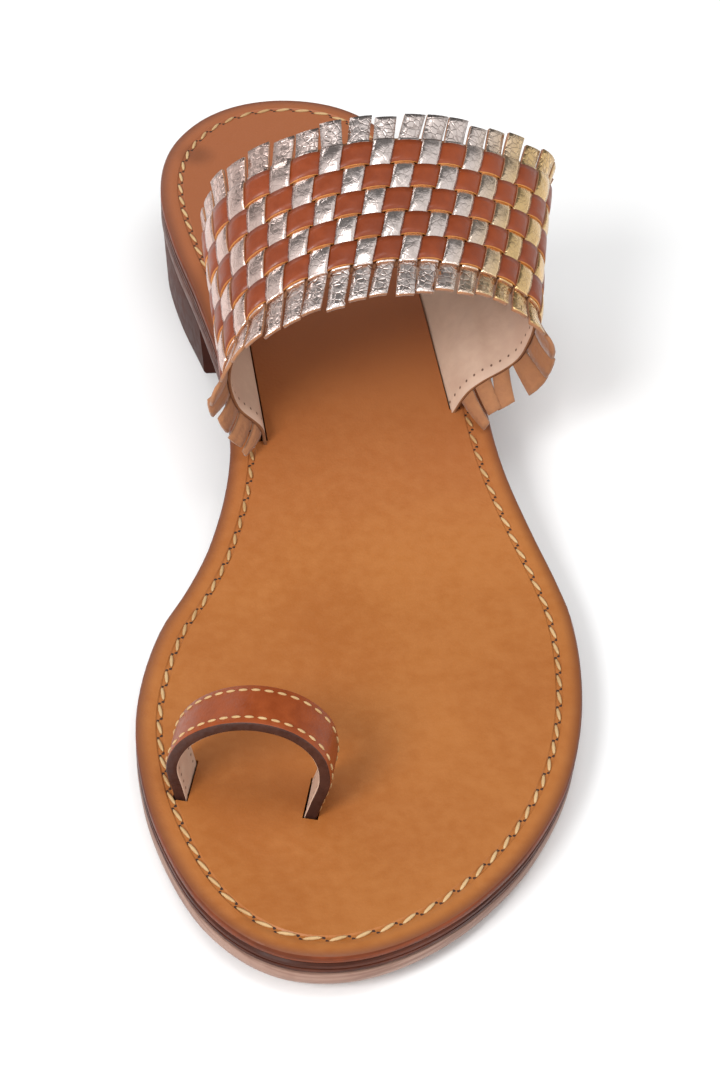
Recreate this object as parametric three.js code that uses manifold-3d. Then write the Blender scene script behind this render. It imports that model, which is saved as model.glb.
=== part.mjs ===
// Leather toe-loop sandal for the left foot: a stitched sole of three leather layers on a low
// block heel, a band plaited from leather strips over the instep, and a loop for the big toe.
// Millimetres, +Z up. The toe points to -Y and the outer (lateral) side of the foot to +X.
// The origin is on the floor, under the middle of the sandal's box.
import * as THREE from "three";
import { mergeVertices } from "three/addons/utils/BufferGeometryUtils.js";
import Module from "manifold-3d";

const wasm = await Module();
wasm.setup();

// Driving dimensions of the sole
const SOLE_LENGTH = 252;
const OUTSOLE_THICK = 3.2;
const MIDSOLE_THICK = 2.5;
const FOOTBED_THICK = 2.0;
const LAYER_GAP = 0.3;
const SOLE_STATIONS = 56; // rungs from heel end to toe tip

// The sole's edge seen from above: share of the length from the toe, then X on each side
const SOLE_OUTLINE = [
  { along: 0.0, medial: -12.4, lateral: -12.4 },
  { along: 0.008, medial: -22.0, lateral: -2.2 },
  { along: 0.056, medial: -34.0, lateral: 16.2 },
  { along: 0.111, medial: -39.6, lateral: 28.0 },
  { along: 0.183, medial: -43.3, lateral: 37.6 },
  { along: 0.262, medial: -43.3, lateral: 42.8 },
  { along: 0.349, medial: -37.3, lateral: 44.2 },
  { along: 0.393, medial: -31.3, lateral: 42.7 },
  { along: 0.437, medial: -26.3, lateral: 40.4 },
  { along: 0.524, medial: -20.5, lateral: 36.3 },
  { along: 0.611, medial: -19.8, lateral: 34.8 },
  { along: 0.698, medial: -23.6, lateral: 34.0 },
  { along: 0.778, medial: -28.0, lateral: 32.6 },
  { along: 0.849, medial: -29.8, lateral: 30.4 },
  { along: 0.913, medial: -27.2, lateral: 27.2 },
  { along: 0.96, medial: -20.4, lateral: 21.6 },
  { along: 0.988, medial: -11.6, lateral: 13.6 },
  { along: 1.0, medial: 1.0, lateral: 1.0 },
];

// The outsole's underside seen from the side: toe spring, tread on the floor, shank, heel seat
const SOLE_RISE = [
  { along: 0.0, rise: 3.4 },
  { along: 0.06, rise: 1.8 },
  { along: 0.12, rise: 0.6 },
  { along: 0.18, rise: 0.0 },
  { along: 0.37, rise: 0.0 },
  { along: 0.48, rise: 2.4 },
  { along: 0.6, rise: 8.2 },
  { along: 0.7, rise: 12.8 },
  { along: 0.78, rise: 15.0 },
  { along: 1.0, rise: 15.8 },
];

// Driving dimensions of the heel
const HEEL_BREAST_ALONG = 0.706; // share of the sole's length at the heel's front face
const HEEL_INSET_TOP = 0.5;
const HEEL_INSET_FLOOR = 2.0;
const HEEL_STATIONS = 20;

// Driving dimensions of the plaited band
const BAND_COLUMNS = 28; // metallic strips, each running from front to back
const BAND_ROWS = 5; // tan strips, each running from slit to slit
const BAND_BACKING = 1.0; // lining and the lower strips
const STRIP_RELIEF = 1.1; // how far a strip on top stands over the backing
const STRIP_DIP = 0.55; // share of the relief left where a strip dives under the next one
const STRIP_GROOVE = 0.15; // share of the relief left in the groove between two strips
const STRIP_EDGE = 0.08; // share of a cell on each side that is groove
const TONGUE_THICK = 1.6; // the band's ends, inside the slits
const TONGUE_DEPTH = 1.2;
const BAND_PLAIN = 0.02; // share of the arch left plain at each slit
const TAB_THICK = 0.9;
// The loose strip ends: their length, and how far a tip lifts off the band on the crown and the flanks
const FRONT_TABS = { length: 7.4, crownLift: 0.3, flankLift: 3.4 };
const REAR_TABS = { length: 6.6, crownLift: 0.4, flankLift: 0.8 };
const BAND_FRONT_LEAN = 1; // degrees that each edge leans towards the toe
const BAND_REAR_LEAN = 20;
const BAND_SLITS = { medialFront: 138, medialRear: 182, lateralFront: 145, lateralRear: 188 };

// The band's inner face, from the medial slit over the instep to the lateral slit:
// X and the rise over the footbed, along the front edge and along the rear edge
const BAND_ARCH = [
  { frontX: -12.4, frontRise: 0.0, rearX: -15.0, rearRise: 0.0 },
  { frontX: -13.4, frontRise: 4.5, rearX: -15.8, rearRise: 4.5 },
  { frontX: -18.8, frontRise: 11.5, rearX: -20.6, rearRise: 12.0 },
  { frontX: -20.6, frontRise: 20.5, rearX: -21.8, rearRise: 21.0 },
  { frontX: -15.8, frontRise: 32.5, rearX: -17.0, rearRise: 32.0 },
  { frontX: -5.0, frontRise: 39.6, rearX: -5.6, rearRise: 39.6 },
  { frontX: 8.0, frontRise: 41.2, rearX: 9.0, rearRise: 42.6 },
  { frontX: 21.6, frontRise: 38.8, rearX: 24.6, rearRise: 40.0 },
  { frontX: 34.4, frontRise: 32.4, rearX: 39.6, rearRise: 32.6 },
  { frontX: 43.2, frontRise: 23.0, rearX: 50.6, rearRise: 23.0 },
  { frontX: 41.4, frontRise: 13.0, rearX: 48.4, rearRise: 12.6 },
  { frontX: 30.6, frontRise: 5.4, rearX: 28.8, rearRise: 5.4 },
  { frontX: 27.5, frontRise: 0.0, rearX: 24.0, rearRise: 0.0 },
];

// Driving dimensions of the toe loop
const LOOP_WIDTH = 10.0;
const LOOP_THICK = 2.2;
const LOOP_STEPS = 30;
const LOOP_CENTRE = { x: -23.7, y: 43.5 };
const LOOP_TURN = -15; // degrees, the lateral foot nearer the toe
// The loop's inner face seen from the toe: across the toe, and the rise over the footbed
const LOOP_ARCH = [
  { across: -11.0, rise: 0.0 },
  { across: -11.8, rise: 3.2 },
  { across: -12.8, rise: 8.0 },
  { across: -10.8, rise: 13.6 },
  { across: -5.6, rise: 18.2 },
  { across: 0.8, rise: 20.2 },
  { across: 7.4, rise: 19.2 },
  { across: 11.8, rise: 15.4 },
  { across: 13.2, rise: 10.0 },
  { across: 12.0, rise: 4.2 },
  { across: 11.0, rise: 0.0 },
];

const SLIT_CLEARANCE = 0.35;

// Smooth curves through the tables

// A function through the values at the positions, closed on itself where wrap is set.
function curveThrough(positions, values, wrap = false) {
  const curve = new THREE.CubicInterpolant(Float32Array.from(positions), Float32Array.from(values), 1);
  if (wrap) curve.settings = { endingStart: THREE.WrapAroundEnding, endingEnd: THREE.WrapAroundEnding };
  return (position) => curve.evaluate(position)[0];
}

// Going round the sole by an angle, 0 at the toe tip and PI at the heel end, keeps both ends round.
const angleAt = (along) => Math.acos(1 - 2 * along);
const alongAt = (angle) => (1 - Math.cos(angle)) / 2;

const medialRows = SOLE_OUTLINE.slice(1).reverse();
const edgeX = curveThrough(
  [...medialRows.map((row) => -angleAt(row.along)), ...SOLE_OUTLINE.map((row) => angleAt(row.along))],
  [...medialRows.map((row) => row.medial), ...SOLE_OUTLINE.map((row) => row.lateral)],
  true,
);
const riseCurve = curveThrough(
  SOLE_RISE.map((row) => row.along),
  SOLE_RISE.map((row) => row.rise),
);

// Heights of the sole's faces at a distance y from the toe tip
const outsoleUnderside = (y) => Math.max(0, riseCurve(THREE.MathUtils.clamp(y / SOLE_LENGTH, 0, 1)));
const outsoleTop = (y) => outsoleUnderside(y) + OUTSOLE_THICK;
const midsoleUnderside = (y) => outsoleTop(y) + LAYER_GAP;
const midsoleTop = (y) => midsoleUnderside(y) + MIDSOLE_THICK;
const footbedUnderside = (y) => midsoleTop(y) + LAYER_GAP;
const footbedTop = (y) => footbedUnderside(y) + FOOTBED_THICK;

// The sole's edge at an angle, moved inwards by inset
function solePoint(angle, inset) {
  const ANGLE_STEP = 1e-3;
  const at = (a) => {
    const wrapped = THREE.MathUtils.euclideanModulo(a + Math.PI, 2 * Math.PI) - Math.PI;
    return new THREE.Vector2(edgeX(wrapped), SOLE_LENGTH * alongAt(a));
  };
  const tangent = at(angle + ANGLE_STEP).sub(at(angle - ANGLE_STEP)).normalize();
  const inwards = new THREE.Vector2(-tangent.y, tangent.x);
  return at(angle).addScaledVector(inwards, inset);
}

// Meshes

// A closed mesh from points and triangles of point numbers
function meshGeometry(points, triangles) {
  return new THREE.BufferGeometry().setFromPoints(points).setIndex(triangles);
}

// A solid between level loops of equal length, lowest first. Each loop runs anticlockwise seen from
// above, from one end point, down its left side and back up its right. Rungs close both faces.
function stackedLoops(loops) {
  const count = loops[0].length;
  const triangles = [];
  for (let level = 0; level + 1 < loops.length; level += 1) {
    for (let k = 0; k < count; k += 1) {
      const [a, b] = [level * count + k, level * count + ((k + 1) % count)];
      triangles.push(a, b, b + count, a, b + count, a + count);
    }
  }
  const top = (loops.length - 1) * count;
  for (let left = 1; left < count - left; left += 1) {
    const right = count - left;
    const [nextLeft, nextRight] = [left - 1, (right + 1) % count];
    const rungs = [[nextLeft, left, right]];
    if (nextLeft !== nextRight) rungs.push([nextLeft, right, nextRight]);
    for (const [a, b, c] of rungs) triangles.push(top + a, top + b, top + c, a, c, b);
  }
  if (count % 2 === 0) {
    const [a, b, c] = [count / 2 - 1, count / 2, count / 2 + 1];
    triangles.push(top + a, top + b, top + c, a, c, b);
  }
  return meshGeometry(loops.flat(), triangles);
}

// A loop all round the sole, from the heel end by the medial side, at a height given by y
function soleLoop(inset, heightAt) {
  return Array.from({ length: 2 * SOLE_STATIONS }, (_, k) => {
    const p = solePoint(-Math.PI + (k * Math.PI) / SOLE_STATIONS, inset);
    return new THREE.Vector3(p.x, p.y, heightAt(p.y));
  });
}

// One leather layer of the sole; each edge row gives the inset and the share of the thickness
function soleLayer(underside, thickness, edgeRows) {
  const loopOf = (row) => soleLoop(row.inset, (y) => underside(y) + row.share * thickness);
  return stackedLoops(edgeRows.map(loopOf));
}

// Solids for cutting

function solidOf(geometry) {
  const bare = new THREE.BufferGeometry().setAttribute("position", geometry.getAttribute("position"));
  if (geometry.index) bare.setIndex(geometry.index);
  const merged = mergeVertices(bare, 1e-4);
  const mesh = new wasm.Mesh({
    numProp: 3,
    vertProperties: new Float32Array(merged.attributes.position.array),
    triVerts: new Uint32Array(merged.index.array),
  });
  return new wasm.Manifold(mesh);
}

function geometryOf(solid) {
  const mesh = solid.getMesh();
  return new THREE.BufferGeometry()
    .setAttribute("position", new THREE.BufferAttribute(mesh.vertProperties, 3))
    .setIndex(new THREE.BufferAttribute(mesh.triVerts, 1));
}

// An upright cutter for a slit: from start to end along a strap's inner face, and out by its thickness
function slitCutter(start, end, outwards, thickness) {
  const along = end.clone().sub(start).normalize().multiplyScalar(SLIT_CLEARANCE);
  const inner = outwards.clone().multiplyScalar(-SLIT_CLEARANCE);
  const outer = outwards.clone().multiplyScalar(thickness + SLIT_CLEARANCE);
  const corners = [
    start.clone().sub(along).add(inner),
    end.clone().add(along).add(inner),
    end.clone().add(along).add(outer),
    start.clone().sub(along).add(outer),
  ];
  const CUTTER_HEIGHT = 100;
  const shape = new THREE.Shape(corners);
  return solidOf(new THREE.ExtrudeGeometry(shape, { depth: CUTTER_HEIGHT, bevelEnabled: false }));
}

// The plaited band

// The inner face's curve along one edge; the edge's plane leans towards the toe
function bandEdge(xColumn, riseColumn, medialY, lateralY, lean) {
  const medialX = BAND_ARCH[0][xColumn];
  const lateralX = BAND_ARCH.at(-1)[xColumn];
  const leaning = Math.tan(THREE.MathUtils.degToRad(lean));
  const points = BAND_ARCH.map((row) => {
    const slitY = THREE.MathUtils.mapLinear(row[xColumn], medialX, lateralX, medialY, lateralY);
    const [nearY, farY] = [Math.min(medialY, lateralY), Math.max(medialY, lateralY)];
    const slitZ = footbedTop(THREE.MathUtils.clamp(slitY, nearY, farY));
    return new THREE.Vector3(row[xColumn], slitY - row[riseColumn] * leaning, slitZ + row[riseColumn]);
  });
  return new THREE.CatmullRomCurve3(points, false, "centripetal");
}

const bandFront = bandEdge(
  "frontX",
  "frontRise",
  BAND_SLITS.medialFront,
  BAND_SLITS.lateralFront,
  BAND_FRONT_LEAN,
);
const bandRear = bandEdge("rearX", "rearRise", BAND_SLITS.medialRear, BAND_SLITS.lateralRear, BAND_REAR_LEAN);

// The inner face at a share around the arch and a share across, where 0 and 1 are the woven edges.
// Past an end of the arch the band runs straight down into its slit.
function bandPoint(around, across) {
  const share = THREE.MathUtils.clamp(around, 0, 1);
  const point = bandFront.getPointAt(share).lerp(bandRear.getPointAt(share), across);
  if (around !== share) point.z -= TONGUE_DEPTH;
  return point;
}

// The outward direction of the inner face
function bandNormal(around, across) {
  const SHARE_STEP = 1e-3;
  const share = THREE.MathUtils.clamp(around, 0, 1);
  const [low, high] = [Math.max(0, share - SHARE_STEP), Math.min(1, share + SHARE_STEP)];
  const alongArch = bandPoint(high, across).sub(bandPoint(low, across));
  if (around <= 0 || around >= 1) alongArch.set(0, 0, around <= 0 ? 1 : -1);
  const acrossBand = bandPoint(share, 1).sub(bandPoint(share, 0));
  return alongArch.cross(acrossBand).normalize();
}

// How far the woven face stands over the backing, from the cell and the place inside it.
// In every other cell the metallic strip is on top; a strip on top is high in the middle of the cell.
function stripRelief(column, row, inColumn, inRow) {
  const inGroove = (s) => s < STRIP_EDGE / 2 || s > 1 - STRIP_EDGE / 2;
  if (inGroove(inColumn) || inGroove(inRow)) return STRIP_GROOVE * STRIP_RELIEF;
  const alongStrip = (column + row) % 2 === 0 ? inRow : inColumn;
  const crown = 1 - Math.abs(2 * alongStrip - 1);
  return STRIP_RELIEF * THREE.MathUtils.lerp(STRIP_DIP, 1, crown);
}

// Places of the grid lines over a number of cells: each cell's groove, strip edges and middle
function cellLines(cells) {
  const inside = [0, STRIP_EDGE, 0.5, 1 - STRIP_EDGE];
  const lines = [];
  for (let cell = 0; cell < cells; cell += 1) {
    for (const s of inside) lines.push({ cell, inside: s, share: (cell + s) / cells });
  }
  lines.push({ cell: cells - 1, inside: 1, share: 1 });
  return lines;
}

function bandGeometry() {
  const wovenLines = cellLines(BAND_COLUMNS).map((line) => ({
    ...line,
    share: THREE.MathUtils.lerp(BAND_PLAIN, 1 - BAND_PLAIN, line.share),
  }));
  const tongueLines = [-1, 0, 1, 2].map((share) => ({ tongue: true, share }));
  const columnLines = [...tongueLines.slice(0, 2), ...wovenLines, ...tongueLines.slice(2)];
  const rowLines = cellLines(BAND_ROWS);
  const points = [];
  const triangles = [];
  const addPoint = (point) => points.push(point) - 1;
  const quad = (a, b, c, d) => triangles.push(a, b, c, a, c, d);

  // A point of the band, out from its inner face by a thickness
  const placed = (around, across, thickness) =>
    addPoint(bandPoint(around, across).addScaledVector(bandNormal(around, across), thickness));

  // A point at the tip of a tab, past the edge where across is 0 or 1
  const placedTip = (around, across, thickness, tabs) => {
    const normal = bandNormal(around, across);
    const outOfEdge = bandPoint(around, across).sub(bandPoint(around, 1 - across)).normalize();
    const lift = THREE.MathUtils.lerp(tabs.flankLift, tabs.crownLift, Math.max(0, normal.z));
    const tip = bandPoint(around, across).addScaledVector(outOfEdge, tabs.length);
    return addPoint(tip.addScaledVector(normal, lift + thickness));
  };
  const wovenThickness = (column, row) => {
    if (column.tongue) return TONGUE_THICK;
    return BAND_BACKING + stripRelief(column.cell, row.cell, column.inside, row.inside);
  };

  const outer = columnLines.map((c) => rowLines.map((r) => placed(c.share, r.share, wovenThickness(c, r))));
  const inner = columnLines.map((c) => [0, 1].map((across) => placed(c.share, across, 0)));
  const lastRow = rowLines.length - 1;
  const lastColumn = columnLines.length - 1;

  for (let c = 0; c < lastColumn; c += 1) {
    for (let r = 0; r < lastRow; r += 1) {
      quad(outer[c][r], outer[c + 1][r], outer[c + 1][r + 1], outer[c][r + 1]);
    }
    quad(inner[c][0], inner[c][1], inner[c + 1][1], inner[c + 1][0]);
  }

  // The two edges: a strip's end goes on as a tab, and the grooves between are closed by the rim
  for (const [side, row, tabs] of [[0, 0, FRONT_TABS], [1, lastRow, REAR_TABS]]) {
    const facing = (a, b, c, d) => (side === 0 ? quad(d, c, b, a) : quad(a, b, c, d));
    const tipAt = new Map();
    const tip = (c) => {
      if (!tipAt.has(c)) {
        const share = columnLines[c].share;
        tipAt.set(c, [placedTip(share, side, TAB_THICK, tabs), placedTip(share, side, 0, tabs)]);
      }
      return tipAt.get(c);
    };
    for (let c = 0; c < lastColumn; c += 1) {
      const here = columnLines[c];
      const next = columnLines[c + 1];
      const onBand = !here.tongue && !next.tongue;
      const onStrip = onBand && here.inside >= STRIP_EDGE && here.inside < 1 - STRIP_EDGE;
      if (!onStrip) {
        facing(outer[c][row], outer[c + 1][row], inner[c + 1][side], inner[c][side]);
        continue;
      }
      const [[tipOut, tipIn], [nextTipOut, nextTipIn]] = [tip(c), tip(c + 1)];
      facing(outer[c][row], outer[c + 1][row], nextTipOut, tipOut);
      facing(tipIn, nextTipIn, inner[c + 1][side], inner[c][side]);
      facing(tipOut, nextTipOut, nextTipIn, tipIn);
      if (here.inside === STRIP_EDGE) facing(outer[c][row], tipOut, tipIn, inner[c][side]);
      if (next.inside === 1 - STRIP_EDGE) {
        facing(inner[c + 1][side], nextTipIn, nextTipOut, outer[c + 1][row]);
      }
    }
  }

  // The ends of both tongues
  for (let r = 0; r < lastRow; r += 1) {
    triangles.push(inner[0][0], outer[0][r], outer[0][r + 1]);
    triangles.push(inner[lastColumn][0], outer[lastColumn][r + 1], outer[lastColumn][r]);
  }
  triangles.push(inner[0][0], outer[0][lastRow], inner[0][1]);
  triangles.push(inner[lastColumn][0], inner[lastColumn][1], outer[lastColumn][lastRow]);
  return meshGeometry(points, triangles);
}

// The slit for one end of the band, on the footbed's plan
function bandSlit(row, frontY, rearY) {
  const start = new THREE.Vector2(row.frontX, frontY);
  const end = new THREE.Vector2(row.rearX, rearY);
  const side = Math.sign(row.frontX);
  const line = end.clone().sub(start).normalize();
  const outwards = new THREE.Vector2(line.y, -line.x).multiplyScalar(side);
  return slitCutter(start, end, outwards, TONGUE_THICK);
}

// The toe loop

const loopTurn = THREE.MathUtils.degToRad(LOOP_TURN);
const loopAcross = new THREE.Vector2(Math.cos(loopTurn), Math.sin(loopTurn));
const loopAlong = new THREE.Vector2(-loopAcross.y, loopAcross.x);

// A point on the footbed's plan from the loop's own measures
const loopPlan = (across, along) =>
  new THREE.Vector2(LOOP_CENTRE.x, LOOP_CENTRE.y)
    .addScaledVector(loopAcross, across)
    .addScaledVector(loopAlong, along);

function loopGeometry() {
  const footbed = footbedTop(LOOP_CENTRE.y);
  const arch = new THREE.CatmullRomCurve3(
    LOOP_ARCH.map((row) => new THREE.Vector3(row.across, 0, row.rise)),
    false,
    "centripetal",
  );
  const stations = [{ point: new THREE.Vector3(LOOP_ARCH[0].across, 0, -TONGUE_DEPTH), out: [-1, 0] }];
  for (let step = 0; step <= LOOP_STEPS; step += 1) {
    const tangent = arch.getTangentAt(step / LOOP_STEPS);
    const upright = step === 0 || step === LOOP_STEPS;
    const out = upright ? [step === 0 ? -1 : 1, 0] : [-tangent.z, tangent.x];
    stations.push({ point: arch.getPointAt(step / LOOP_STEPS), out });
  }
  stations.push({ point: new THREE.Vector3(LOOP_ARCH.at(-1).across, 0, -TONGUE_DEPTH), out: [1, 0] });

  const half = LOOP_WIDTH / 2;
  const section = [
    { along: -half, thickness: 0 },
    { along: half, thickness: 0 },
    { along: half, thickness: LOOP_THICK },
    { along: -half, thickness: LOOP_THICK },
  ];
  const points = stations.flatMap(({ point, out }) =>
    section.map(({ along, thickness }) => {
      const plan = loopPlan(point.x + out[0] * thickness, along);
      return new THREE.Vector3(plan.x, plan.y, footbed + point.z + out[1] * thickness);
    }),
  );
  const triangles = [];
  const corners = section.length;
  for (let station = 0; station + 1 < stations.length; station += 1) {
    for (let corner = 0; corner < corners; corner += 1) {
      const [a, b] = [station * corners + corner, station * corners + ((corner + 1) % corners)];
      triangles.push(a, b, b + corners, a, b + corners, a + corners);
    }
  }
  const end = (stations.length - 1) * corners;
  triangles.push(0, 2, 1, 0, 3, 2, end, end + 1, end + 2, end, end + 2, end + 3);
  return meshGeometry(points, triangles);
}

function loopSlit(row) {
  const half = LOOP_WIDTH / 2;
  const outwards = loopAcross.clone().multiplyScalar(Math.sign(row.across));
  return slitCutter(loopPlan(row.across, -half), loopPlan(row.across, half), outwards, LOOP_THICK);
}

// The sole's pieces

function footbedGeometry() {
  const sheet = soleLayer(footbedUnderside, FOOTBED_THICK, [
    { inset: 0.2, share: 0 },
    { inset: 0, share: 0.2 },
    { inset: 0, share: 0.72 },
    { inset: 0.6, share: 1 },
  ]);
  const slits = [
    bandSlit(BAND_ARCH[0], BAND_SLITS.medialFront, BAND_SLITS.medialRear),
    bandSlit(BAND_ARCH.at(-1), BAND_SLITS.lateralFront, BAND_SLITS.lateralRear),
    loopSlit(LOOP_ARCH[0]),
    loopSlit(LOOP_ARCH.at(-1)),
  ];
  return geometryOf(slits.reduce((solid, slit) => solid.subtract(slit), solidOf(sheet)));
}

const midsoleGeometry = () =>
  soleLayer(midsoleUnderside, MIDSOLE_THICK, [
    { inset: 0.5, share: 0 },
    { inset: 0.1, share: 0.2 },
    { inset: 0.1, share: 0.8 },
    { inset: 0.5, share: 1 },
  ]);

const outsoleGeometry = () =>
  soleLayer(outsoleUnderside, OUTSOLE_THICK, [
    { inset: 0.9, share: 0 },
    { inset: 0.3, share: 0.25 },
    { inset: 0.2, share: 0.8 },
    { inset: 0.5, share: 1 },
  ]);

// The heel follows the sole's outline from its end to the breast, and tapers to the floor
function heelLoop(inset, heightAt) {
  const breast = angleAt(HEEL_BREAST_ALONG);
  const sidePoints = (sign) =>
    Array.from({ length: HEEL_STATIONS }, (_, k) => {
      const angle = Math.PI - ((k + 1) * (Math.PI - breast)) / HEEL_STATIONS;
      return solePoint(sign * angle, inset);
    });
  const plan = [solePoint(Math.PI, inset), ...sidePoints(-1), ...sidePoints(1).reverse()];
  return plan.map((p) => new THREE.Vector3(p.x, p.y, heightAt(p.y)));
}

const heelGeometry = () =>
  stackedLoops([
    heelLoop(HEEL_INSET_FLOOR, () => 0),
    heelLoop(HEEL_INSET_TOP, (y) => outsoleUnderside(y) - LAYER_GAP),
  ]);

// The sandal

function leather(colour, roughness, metalness = 0) {
  return new THREE.MeshStandardMaterial({ color: new THREE.Color(colour), roughness, metalness });
}

function piece(name, geometry, material) {
  geometry.computeVertexNormals();
  const mesh = new THREE.Mesh(geometry, material);
  mesh.name = name;
  return mesh;
}

const sandal = new THREE.Group();
sandal.add(
  piece("outsole", outsoleGeometry(), leather("#b08a78", 0.5)),
  piece("midsole", midsoleGeometry(), leather("#4a2a22", 0.5)),
  piece("footbed", footbedGeometry(), leather("#bd7a3e", 0.42)),
  piece("heel", heelGeometry(), leather("#5a362c", 0.35)),
  piece("woven_band", bandGeometry(), leather("#c9a48c", 0.35, 0.4)),
  piece("toe_loop", loopGeometry(), leather("#a24f22", 0.35)),
);

// The origin goes to the floor, under the middle of the box.
const box = new THREE.Box3().setFromObject(sandal);
const middle = box.getCenter(new THREE.Vector3());
sandal.children.forEach((mesh) => mesh.position.set(-middle.x, -middle.y, -box.min.z));

export default sandal;
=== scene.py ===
# %% [markdown]
# # A plaited leather sandal
# This lesson dresses the solids of a toe-loop sandal for the left foot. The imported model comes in
# first and stays fixed. Every new piece is made at its real place, in metres, and rides on it.

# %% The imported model
import math
import random

import bmesh
import bpy
import numpy as np
from mathutils import Matrix, Vector


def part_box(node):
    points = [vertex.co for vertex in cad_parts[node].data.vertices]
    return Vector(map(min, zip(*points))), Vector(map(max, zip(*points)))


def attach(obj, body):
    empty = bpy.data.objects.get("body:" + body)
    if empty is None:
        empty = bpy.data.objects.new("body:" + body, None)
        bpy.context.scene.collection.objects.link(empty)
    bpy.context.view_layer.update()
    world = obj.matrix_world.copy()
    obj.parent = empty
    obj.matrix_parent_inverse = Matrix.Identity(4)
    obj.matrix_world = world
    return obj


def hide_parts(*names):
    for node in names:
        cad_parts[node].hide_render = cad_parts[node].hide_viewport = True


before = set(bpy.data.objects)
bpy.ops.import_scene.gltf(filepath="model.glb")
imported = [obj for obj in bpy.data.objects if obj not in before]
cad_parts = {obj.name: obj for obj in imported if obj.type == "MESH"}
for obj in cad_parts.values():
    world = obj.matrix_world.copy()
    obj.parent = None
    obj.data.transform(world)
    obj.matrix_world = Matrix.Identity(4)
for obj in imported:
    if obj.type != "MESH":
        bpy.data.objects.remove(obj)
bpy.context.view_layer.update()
scene = bpy.context.scene
print("nodes of the packed model:", ", ".join(sorted(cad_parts)))

# %% [markdown]
# ## Smooth curves from short tables
# A last maker measures a few stations and draws a fair line through them. Blender's curve objects could
# do this too, but a plain function is easier to ask for a height at any place. `curve_through` does it
# for one value, and `even_path` for a line in space, which it then spaces evenly along its length.

# %% Curves
def curve_through(positions, values, closed=False):
    place, value = np.asarray(positions, float), np.asarray(values, float)
    rise = np.diff(value) / np.diff(place)
    before, after = (rise[-1], rise[0]) if closed else (rise[0], rise[-1])
    slope = (np.append(before, rise) + np.append(rise, after)) / 2

    def at(x):
        k = int(np.clip(np.searchsorted(place, x) - 1, 0, len(place) - 2))
        width = place[k + 1] - place[k]
        t = (x - place[k]) / width
        ends = value[k] * (1 + 2 * t) * (1 - t) ** 2 + value[k + 1] * t * t * (3 - 2 * t)
        return ends + width * t * (1 - t) * (slope[k] * (1 - t) - slope[k + 1] * t)

    return at


def running_length(line):
    return np.append(0, np.cumsum(np.linalg.norm(np.diff(line, axis=0), axis=1)))


def even_path(points, samples=500, steps_per_span=60):
    q = np.asarray(points, float)
    q = np.vstack([2 * q[0] - q[1], q, 2 * q[-1] - q[-2]])
    line = []
    for k in range(1, len(q) - 2):
        # knots spaced by the root of the distance keep the line from looping between close points
        d0, d1, d2 = (math.sqrt(np.linalg.norm(q[k + n] - q[k + n - 1])) for n in (0, 1, 2))
        step = (q[k + 1] - q[k]) / d1
        start = d1 * ((q[k] - q[k - 1]) / d0 - (q[k + 1] - q[k - 1]) / (d0 + d1) + step)
        end = d1 * (step - (q[k + 2] - q[k]) / (d1 + d2) + (q[k + 2] - q[k + 1]) / d2)
        for t in np.linspace(0, 1, steps_per_span, endpoint=False):
            ends = q[k] * (1 + 2 * t) * (1 - t) ** 2 + q[k + 1] * t * t * (3 - 2 * t)
            line.append(ends + t * (1 - t) * (start * (1 - t) - end * t))
    line = np.vstack([line, q[-2]])
    run = running_length(line)
    steps = np.linspace(0, run[-1], samples)
    return np.stack([np.interp(steps, run, line[:, axis]) for axis in range(3)], axis=1)


def path_at(path, share):
    place = min(max(share, 0.0), 1.0) * (len(path) - 1)
    k = min(int(place), len(path) - 2)
    return path[k] + (path[k + 1] - path[k]) * (place - k)


print("curves ready")

# %% [markdown]
# ## The sole's measures
# All tables are in millimetres, with x across, y from the toe tip and z from the floor. The outline could
# be given as x for each y, but then both ends would come out pointed. So it is walked by an angle, 0 at
# the toe and 180 degrees at the heel, which keeps them round.

# %% The sole's outline and side line
SOLE_LENGTH = 252
OUTSOLE, MIDSOLE, FOOTBED, GAP = 3.2, 2.5, 2.0, 0.3
OUTLINE = [  # share of the length, x on the big toe's side, x on the little toe's side
    (0.0, -12.4, -12.4), (0.008, -22.0, -2.2), (0.056, -34.0, 16.2), (0.111, -39.6, 28.0),
    (0.183, -43.3, 37.6), (0.262, -43.3, 42.8), (0.349, -37.3, 44.2), (0.393, -31.3, 42.7),
    (0.437, -26.3, 40.4), (0.524, -20.5, 36.3), (0.611, -19.8, 34.8), (0.698, -23.6, 34.0),
    (0.778, -28.0, 32.6), (0.849, -29.8, 30.4), (0.913, -27.2, 27.2), (0.96, -20.4, 21.6),
    (0.988, -11.6, 13.6), (1.0, 1.0, 1.0),
]
RISE = [  # share of the length, height of the outsole's underside
    (0.0, 3.4), (0.06, 1.8), (0.12, 0.6), (0.18, 0.0), (0.37, 0.0),
    (0.48, 2.4), (0.6, 8.2), (0.7, 12.8), (0.78, 15.0), (1.0, 15.8),
]


def angle_of(along):
    return math.acos(1 - 2 * along)


angles = [angle_of(along) for along, _, _ in OUTLINE]
edge_x = curve_through(
    [-a for a in reversed(angles[1:])] + angles,
    [inner for _, inner, _ in reversed(OUTLINE[1:])] + [outer for _, _, outer in OUTLINE],
    closed=True,
)
rise_at = curve_through(*zip(*RISE))


def tread(y):
    return max(0.0, rise_at(min(max(y / SOLE_LENGTH, 0), 1)))


def footbed_top(y):
    return tread(y) + OUTSOLE + MIDSOLE + FOOTBED + 2 * GAP


print("the footbed is", round(footbed_top(0), 1), "mm high at the toe,",
      round(footbed_top(SOLE_LENGTH), 1), "mm at the heel")

# %% [markdown]
# ## Points on the outline
# Every layer of the sole follows the same outline, set in by its own distance. The tables start at the
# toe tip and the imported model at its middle, so one shift, measured on the footbed, joins the two.

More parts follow.
